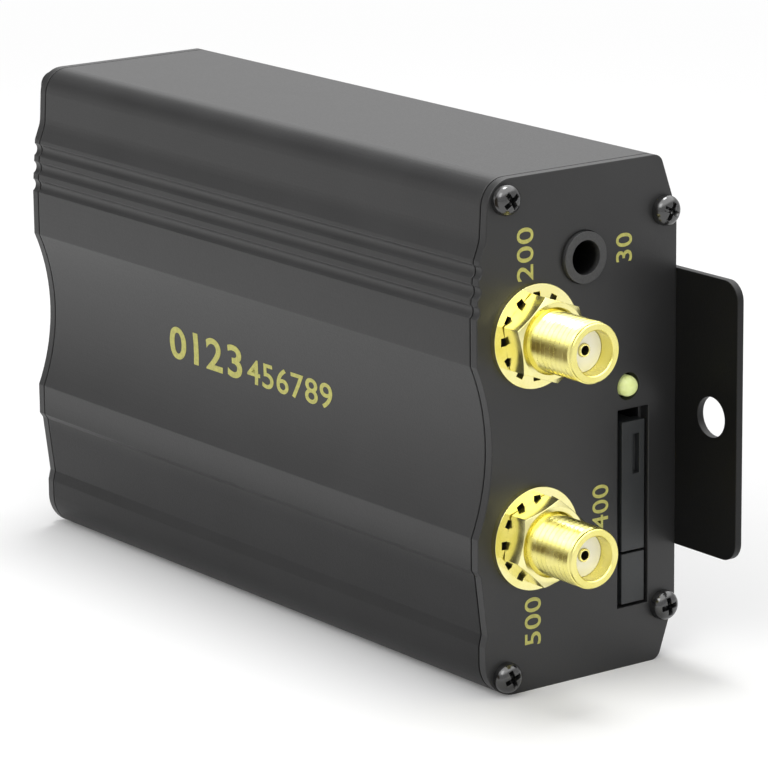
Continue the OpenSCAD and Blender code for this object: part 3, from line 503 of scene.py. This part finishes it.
def socket_shell(name):
    """Replaces a socket's shell: threaded barrel, plain mouth, chamfered bore and rear block."""
    node = name + "_socket_shell"
    low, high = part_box(node)
    middle = middle_of(name + "_socket_nut")
    nut_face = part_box(name + "_socket_nut")[1].x
    tip = high.x
    bm = bmesh.new()
    thread_start, thread_end = nut_face - THREAD_PITCH, tip - LEAD_IN
    threaded_barrel(bm, thread_start, thread_end, middle)
    cap_ring(bm, ring_at(bm, thread_start, THREAD_ROOT_R, middle, THREAD_SIDES), thread_start, middle)
    profile = [
        (thread_end, THREAD_ROOT_R),
        (thread_end + MOUTH_STEP, MOUTH_R),
        (tip - MOUTH_CHAMFER, MOUTH_R),
        (tip, MOUTH_R - MOUTH_CHAMFER),
        (tip, BARREL_BORE_R + BORE_CHAMFER),
        (tip - BORE_CHAMFER, BARREL_BORE_R),
        (tip - BORE_DEPTH, BARREL_BORE_R),
    ]
    rings = lathe(bm, profile, middle, THREAD_SIDES, closed=False)
    cap_ring(bm, rings[-1], tip - BORE_DEPTH, middle)
    lathe(bm, [(PLATE_BACK, CORE_BORE_R), (PLATE_BACK, CORE_R), (nut_face, CORE_R), (nut_face, CORE_BORE_R)],
          middle, CORE_SIDES)
    socket_rear(bm, low.x, middle)
    piece = finish_mesh(name + "_threaded_shell", bm, "gold", 24.0, BARREL_GOLD)
    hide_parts(node)


NUT_SIDES = 144
# Half the width across flats, and the round face's share of it
NUT_FLATS_R, NUT_FACE_SHARE = 4.0 * MM, 0.985
NUT_CHAMFER_TAN, NUT_BACK_SHARE = math.tan(math.radians(26)), 0.6
NUT_BORE_R = BARREL_R + 0.01 * MM
NUT_SINK, NUT_BACK_SINK = 0.28 * MM, 0.1 * MM
NUT_TURNS = {"gps": 10.0, "gsm": -12.0}


def socket_nut(name):
    """Replaces a lock nut: chamfered hexagon whose bore has a countersink at both ends."""
    node = name + "_socket_nut"
    low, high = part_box(node)
    start, end = low.x, high.x
    turn = math.radians(NUT_TURNS[name])
    face_r = NUT_FLATS_R * NUT_FACE_SHARE

    def hexagon_r(a):
        b = (a - turn + math.pi / 6) % (math.pi / 3) - math.pi / 6
        return NUT_FLATS_R / math.cos(b)

    def front_x(a):
        return end - (hexagon_r(a) - face_r) * NUT_CHAMFER_TAN

    def back_x(a):
        return start + (hexagon_r(a) - NUT_FLATS_R) * NUT_CHAMFER_TAN * NUT_BACK_SHARE

    bm = bmesh.new()
    profile = [
        (start, NUT_BORE_R + NUT_BACK_SINK),
        (start, face_r),
        (back_x, hexagon_r),
        (front_x, hexagon_r),
        (end, face_r),
        (end, NUT_BORE_R + NUT_SINK),
        (end - NUT_SINK, THREAD_ROOT_R),
        (start + NUT_SINK, THREAD_ROOT_R),
    ]
    lathe(bm, profile, middle_of(node), NUT_SIDES)
    piece = finish_mesh(name + "_chamfered_nut", bm, "gold", 18.0)
    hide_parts(node)


CONTACT_HOLE_R = 0.475 * MM
CONTACT_EDGE = 0.07 * MM
# The hole is painted dark as shade from this far behind the mouth
CONTACT_SHADE_FROM = 1.1 * CONTACT_EDGE
CONTACT_SIDES = 40


def socket_contact(name):
    """Replaces a centre contact: a tube with a rounded mouth whose hole is painted dark inside as shade."""
    node = name + "_socket_contact"
    low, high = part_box(node)
    middle = middle_of(node)
    radius = (high.y - low.y) / 2
    bm = bmesh.new()
    profile = [
        (low.x, radius),
        (high.x - CONTACT_EDGE, radius),
        (high.x, radius - CONTACT_EDGE),
        (high.x, CONTACT_HOLE_R + CONTACT_EDGE / 2),
        (high.x - CONTACT_EDGE, CONTACT_HOLE_R),
        (low.x + radius, CONTACT_HOLE_R),
    ]
    rings = lathe(bm, profile, middle, CONTACT_SIDES, closed=False)
    cap_ring(bm, rings[-1], low.x + radius, middle)
    cap_ring(bm, rings[0], low.x, middle)
    piece = finish_mesh(name + "_contact_tube", bm, "gold", 30.0)
    piece.data.materials.append(SHADED_HOLE_GOLD)
    # Painted shade: faces inside the hole get the dark gold
    for face in piece.data.polygons:
        out = math.hypot(face.center.y - middle[0], face.center.z - middle[1])
        inside = low.x + radius / 2 < face.center.x < high.x - CONTACT_SHADE_FROM
        face.material_index = 1 if out <= CONTACT_HOLE_R and inside else 0
    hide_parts(node)


# Screws

SCREW_HEAD_R = 1.6 * MM
SCREW_HEAD_H = 1.4 * MM
SCREW_RIM_H = 0.5 * MM
# Powers that shape the dome, and that draw its rings closer near the rim
DOME_FLAT, DOME_ROUND = 3.2, 0.6
RING_CROWD = 1.25
SCREW_RINGS = 26
SCREW_SIDES = 96
CROSS_REACH = 0.98 * MM
CROSS_HALF_W = 0.26 * MM
CROSS_DEPTH = 0.85 * MM
# How far the recess slopes at its sides, and how many times as far at its ends
CROSS_TAPER, CROSS_END = 0.12 * MM, 3
SHANK_R = 0.8 * MM
SCREW_L = 8.0 * MM
SCREW_SPREAD = 4 * MM
SCREW_ANGLES = (0.35, 0.62, 0.15, 1.1)


def dome_height(r):
    """Height of a pan head's skin over the plate at a distance from its middle."""
    share = min(1.0, r / SCREW_HEAD_R)
    return SCREW_RIM_H + (SCREW_HEAD_H - SCREW_RIM_H) * (1 - share ** DOME_FLAT) ** DOME_ROUND


def cross_cut(y, z, angle):
    """How deep the cross recess is at a point, from 0 outside it to 1 at its floor."""
    c, s = math.cos(angle), math.sin(angle)
    a, b = abs(c * y + s * z), abs(-s * y + c * z)
    reach = CROSS_REACH - max(a, b)
    side = CROSS_HALF_W - min(a, b)
    return max(0.0, min(1.0, min(side / CROSS_TAPER, reach / (CROSS_TAPER * CROSS_END))))


def screw_head(bm, place, angle, face, out):
    """Builds a pan head screw on a plate; out is +1 or -1 along X."""
    rings = []
    for k in range(SCREW_RINGS):
        r = SCREW_HEAD_R * (1 - (k / SCREW_RINGS) ** RING_CROWD)
        ring = []
        for i in range(SCREW_SIDES):
            a = 2 * math.pi * i / SCREW_SIDES
            y, z = r * math.cos(a), r * math.sin(a)
            h = dome_height(r) - CROSS_DEPTH * cross_cut(y, z, angle)
            ring.append(bm.verts.new((face + out * h, place[0] + y, place[1] + z)))
        rings.append(ring)
    base = ring_at(bm, face, SCREW_HEAD_R, place, SCREW_SIDES)
    neck = ring_at(bm, face, SHANK_R, place, SCREW_SIDES)
    foot = ring_at(bm, face - out * SCREW_L, SHANK_R, place, SCREW_SIDES)
    chain = [foot, neck, base] + rings
    for a, b in zip(chain, chain[1:]):
        join_rings(bm, a, b)
    cap_ring(bm, rings[-1], face + out * (SCREW_HEAD_H - CROSS_DEPTH), place)
    cap_ring(bm, foot, face - out * SCREW_L, place)


def screw_places(node):
    """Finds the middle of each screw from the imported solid's points, which lie close round it."""
    groups = []
    for vert in NODES[node].data.vertices:
        y, z = vert.co.y, vert.co.z
        for group in groups:
            if math.hypot(group[0][0] - y, group[0][1] - z) < SCREW_SPREAD:
                group.append((y, z))
                break
        else:
            groups.append([(y, z)])
    spots = []
    for group in groups:
        ys, zs = zip(*group)
        spots.append(((min(ys) + max(ys)) / 2, (min(zs) + max(zs)) / 2))
    return sorted(spots)


def plate_screws(node, face, out):
    """Replaces the four screws of an end plate."""
    bm = bmesh.new()
    for place, angle in zip(screw_places(node), SCREW_ANGLES):
        screw_head(bm, place, angle, face, out)
    piece = finish_mesh(node + "_domed", bm, "black_screw", 32.0)
    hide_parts(node)


# Printing

PRINT_LIFT = 0.02 * MM
PRINT_SINK = 0.02 * MM
DIGIT_HALF_T, DIGIT_SPACING = 0.5, 1.06
RAY_START_Y = -50 * MM
# The front's digits are cut into rows, so that they follow the hollow
FRONT_ROWS = 10
PORT_WIDEN = 0.008
# Digits, start and end along X, height and widening of the strokes
FRONT_DIGITS = (
    ("012", -16.6, -6.3, 3.7, 0.018), ("3", -5.3, -2.6, 3.7, 0.018), ("456789", -1.6, 14.1, 2.8, 0.009))
FRONT_FOOT_Z = 24.95 * MM
# Digits, foot along Y, start and end along Z
PORT_NUMBERS = (
    ("200", -5.8, 43.2, 48.7), ("30", 7.05, 43.4, 46.4), ("400", 4.0, 15.6, 20.3), ("500", -4.9, 4.8, 9.9))
PORT_DIGIT_H = 2.1 * MM


def front_y(x, z):
    """The front's surface at a place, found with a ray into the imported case."""
    return NODES["case_extrusion"].ray_cast((x, RAY_START_Y, z), (0, 1, 0))[1].y


def digit_solid(words, length, height, widen, rows=1):
    """Plain digits as a thin slab: x along the row, y up, z above or under zero at front and back."""
    curve = bpy.data.curves.new("digits", "FONT")
    curve.body = words
    curve.extrude = DIGIT_HALF_T
    curve.offset = widen
    curve.space_character = DIGIT_SPACING
    text = bpy.data.objects.new("digits", curve)
    bpy.context.scene.collection.objects.link(text)
    bpy.context.view_layer.update()
    mesh = bpy.data.meshes.new_from_object(text)
    bpy.data.objects.remove(text)
    bm = bmesh.new()
    bm.from_mesh(mesh)
    bpy.data.meshes.remove(mesh)
    xs, ys = [v.co.x for v in bm.verts], [v.co.y for v in bm.verts]
    left, foot = min(xs), min(ys)
    along, across = length / (max(xs) - left), height / (max(ys) - foot)
    for v in bm.verts:
        v.co = ((v.co.x - left) * along, (v.co.y - foot) * across, v.co.z)
    for row in range(1, rows):
        whole = bm.verts[:] + bm.edges[:] + bm.faces[:]
        bmesh.ops.bisect_plane(bm, geom=whole, plane_co=(0, height * row / rows, 0), plane_no=(0, 1, 0))
    return bm


def lay_print(name, bm, spot, slot):
    """Lays a slab of digits on the object; spot turns x, y and the lift into a place."""
    for v in bm.verts:
        v.co = spot(v.co.x, v.co.y, PRINT_LIFT if v.co.z > 0 else -PRINT_SINK)
    finish_mesh(name, bm, slot, 20.0, INK)


def front_print():
    """Plain digits in the place of the front's print; they follow the hollow."""
    for words, start, end, height, widen in FRONT_DIGITS:
        def spot(x, y, lift):
            there = (start * MM + x, FRONT_FOOT_Z + y)
            return (there[0], front_y(*there) - lift, there[1])

        solid = digit_solid(words, (end - start) * MM, height * MM, widen, FRONT_ROWS)
        lay_print("front_digits_" + words, solid, spot, "black_case")


def port_numbers():
    """Plain numbers beside the ports, read from the foot upwards."""
    for words, foot_y, start, end in PORT_NUMBERS:
        def spot(x, y, lift):
            return (PLATE_FACE + lift, foot_y * MM - y, start * MM + x)

        solid = digit_solid(words, (end - start) * MM, PORT_DIGIT_H, PORT_WIDEN)
        lay_print("number_" + words, solid, spot, "black_plate")


# Floor, light and camera

CAMERA_PLACE = (0.374064, -0.270138, 0.139983)
CAMERA_AZIMUTH = 53.559
CAMERA_ELEVATION = 14.199
CAMERA_ROLL = -0.601
CAMERA_LENS = 203.134
CAMERA_SENSOR = 36.0
CAMERA_CLIP = (0.02, 20.0)


def make_camera():
    """The camera that was fitted to the photograph."""
    data = bpy.data.cameras.new("camera")
    data.sensor_width = CAMERA_SENSOR
    data.lens = CAMERA_LENS
    data.clip_start, data.clip_end = CAMERA_CLIP
    cam = bpy.data.objects.new("camera", data)
    bpy.context.scene.collection.objects.link(cam)
    az, el = math.radians(CAMERA_AZIMUTH), math.radians(CAMERA_ELEVATION)
    back = Vector((math.sin(az) * math.cos(el), -math.cos(az) * math.cos(el), math.sin(el)))
    turn = (-back).to_track_quat("-Z", "Y").to_matrix().to_4x4()
    roll = Matrix.Rotation(math.radians(CAMERA_ROLL), 4, "Z")
    cam.matrix_world = Matrix.Translation(CAMERA_PLACE) @ turn @ roll
    bpy.context.scene.camera = cam


FLOOR_HALF = 3.0
FLOOR_CLOUD, FLOOR_DARK, FLOOR_PALE = 6.0, 0.86, 0.9
# Share of plain white in the floor near the object, and the distances over which it grows to all
FLOOR_SHARE = 0.1
FAR_REACH = (0.2, 0.5)
# A dark flag seen in reflections alone: its direction from the sockets, reach as cosines, distances, colour
FLAG_FROM = (PLATE_FACE + 5 * MM, 0.0, 0.0)
FLAG_SIDE = (-0.26, -0.965, 0.0)
FLAG_REACH = (0.87, 0.95)
FLAG_NEAR = (0.06, 0.1)
FLAG_COLOUR = (0.1, 0.06, 0.015, 1)


def floor_flag(g, far):
    """How much of the flag there is at a place of the floor."""
    side = g.vector("NORMALIZE", g.vector("SUBTRACT", g.place(), FLAG_FROM))
    agree = g.vector("DOT_PRODUCT", side, FLAG_SIDE, "Value")
    return g.math("MULTIPLY", g.range(agree, *FLAG_REACH, smooth=True), g.range(far, *FLAG_NEAR, smooth=True))


def make_floor():
    """A pale floor that takes the shadow and runs out to plain white where it is looked at."""
    bm = bmesh.new()
    h = FLOOR_HALF
    bm.faces.new([bm.verts.new(p) for p in ((-h, -h, 0), (h, -h, 0), (h, h, 0), (-h, h, 0))])
    mesh = bpy.data.meshes.new("floor")
    bm.to_mesh(mesh)
    bm.free()
    floor = bpy.data.objects.new("floor", mesh)
    bpy.context.scene.collection.objects.link(floor)
    mat, g = material("floor_pale")
    cloud = g.noise(g.place(), FLOOR_CLOUD, 2.0, 0.5)
    plain = g.add("ShaderNodeBsdfDiffuse", {"Color": g.mix(cloud, grey(FLOOR_DARK), grey(FLOOR_PALE))})
    rays = g.add("ShaderNodeLightPath").outputs
    seen = g.math("MAXIMUM", rays["Is Camera Ray"], rays["Is Transmission Ray"])
    far = g.vector("LENGTH", g.place(), result="Value")
    share = g.range(far, *FAR_REACH, FLOOR_SHARE, 1.0, smooth=True)
    mixed = g.mix_shaders(g.math("MULTIPLY", seen, share), plain.outputs[0], g.shine(grey(1.0)))
    flag = g.math("MULTIPLY", rays["Is Glossy Ray"], floor_flag(g, far))
    g.add("ShaderNodeOutputMaterial", {0: g.mix_shaders(flag, mixed, g.shine(FLAG_COLOUR))})
    mesh.materials.append(mat)


# The room's level towards the camera's side and away from it, and how it changes over
ROOM_FRONT, ROOM_BACK = 0.95, 0.35
ROOM_SIDE, ROOM_REACH = (0.6, -0.8, 0.0), (-0.6, 0.6)
# Reflections see the room at these levels instead, the second one above
GLOSS_LEVEL, GLOSS_TOP = 0.84, 2.7
GLOSS_TOP_REACH = (0.34, 0.66)
# Soft places that reflections see, one dark, one warm dark, one bright: direction, reach as cosines, colour
ROOM_PLACES = (
    ((-0.88, -0.25, 0.4), (0.72, 0.92), (0.2, 0.2, 0.2, 1)),
    ((-0.26, -0.96, -0.08), (0.87, 0.95), (0.1, 0.06, 0.015, 1)),
    ((-0.8, -0.57, 0.16), (0.955, 0.995), (4, 4, 4, 1)),
)


def make_world():
    """A white room; reflections see it brighter above, with soft dark and bright places."""
    world = bpy.data.worlds.new("studio")
    world.use_nodes = True
    bpy.context.scene.world = world
    g = Graph(world.node_tree)
    level = g.range(g.toward(ROOM_SIDE), *ROOM_REACH, ROOM_BACK, ROOM_FRONT, smooth=True)
    gloss = g.range(g.toward((0, 0, 1)), *GLOSS_TOP_REACH, GLOSS_LEVEL, GLOSS_TOP, smooth=True)
    tint = grey(1.0)
    for direction, reach, colour in ROOM_PLACES:
        near = g.range(g.toward(direction), *reach, smooth=True)
        tint = g.mix(1.0, tint, g.mix(near, grey(1.0), colour), "MULTIPLY")
    rays = g.add("ShaderNodeLightPath").outputs
    strength = g.range(rays["Is Glossy Ray"], 0.0, 1.0, level, gloss)
    tint = g.mix(rays["Is Glossy Ray"], grey(1.0), tint)
    room = g.add("ShaderNodeBackground", {"Color": tint, "Strength": strength})
    seen = g.math("MAXIMUM", rays["Is Camera Ray"], rays["Is Transmission Ray"])
    white = g.shine(grey(1.0), "ShaderNodeBackground")
    g.add("ShaderNodeOutputWorld", {0: g.mix_shaders(seen, room.outputs[0], white)})


# Soft lamps: name, place, target, size and watts
LAMPS = (
    ("top_soft", (-0.04, 0.09, 0.75), (0, 0, 0.02), (0.26, 0.26), 3.1),
    ("front_soft", (0.3, -0.5, 0.5), (0.03, 0, 0.03), (0.35, 0.35), 1.2),
)


def make_lamp(name, place, target, size, power):
    """A soft rectangular lamp that looks at its target."""
    data = bpy.data.lights.new(name, "AREA")
    data.shape = "RECTANGLE"
    data.size, data.size_y = size
    data.energy = power
    obj = bpy.data.objects.new(name, data)
    bpy.context.scene.collection.objects.link(obj)
    obj.location = place
    obj.rotation_euler = (Vector(target) - Vector(place)).to_track_quat("-Z", "Y").to_euler()


make_camera()
make_floor()
make_world()
for lamp in LAMPS:
    make_lamp(*lamp)
dress_nodes()
for aerial in SOCKETS:
    socket_shell(aerial)
    socket_nut(aerial)
    socket_contact(aerial)
plate_screws("connector_plate_screws", PLATE_FACE, 1)
plate_screws("harness_plate_screws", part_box("harness_end_plate")[0].x, -1)
front_print()
port_numbers()
bpy.context.scene.view_settings.view_transform = "Standard"
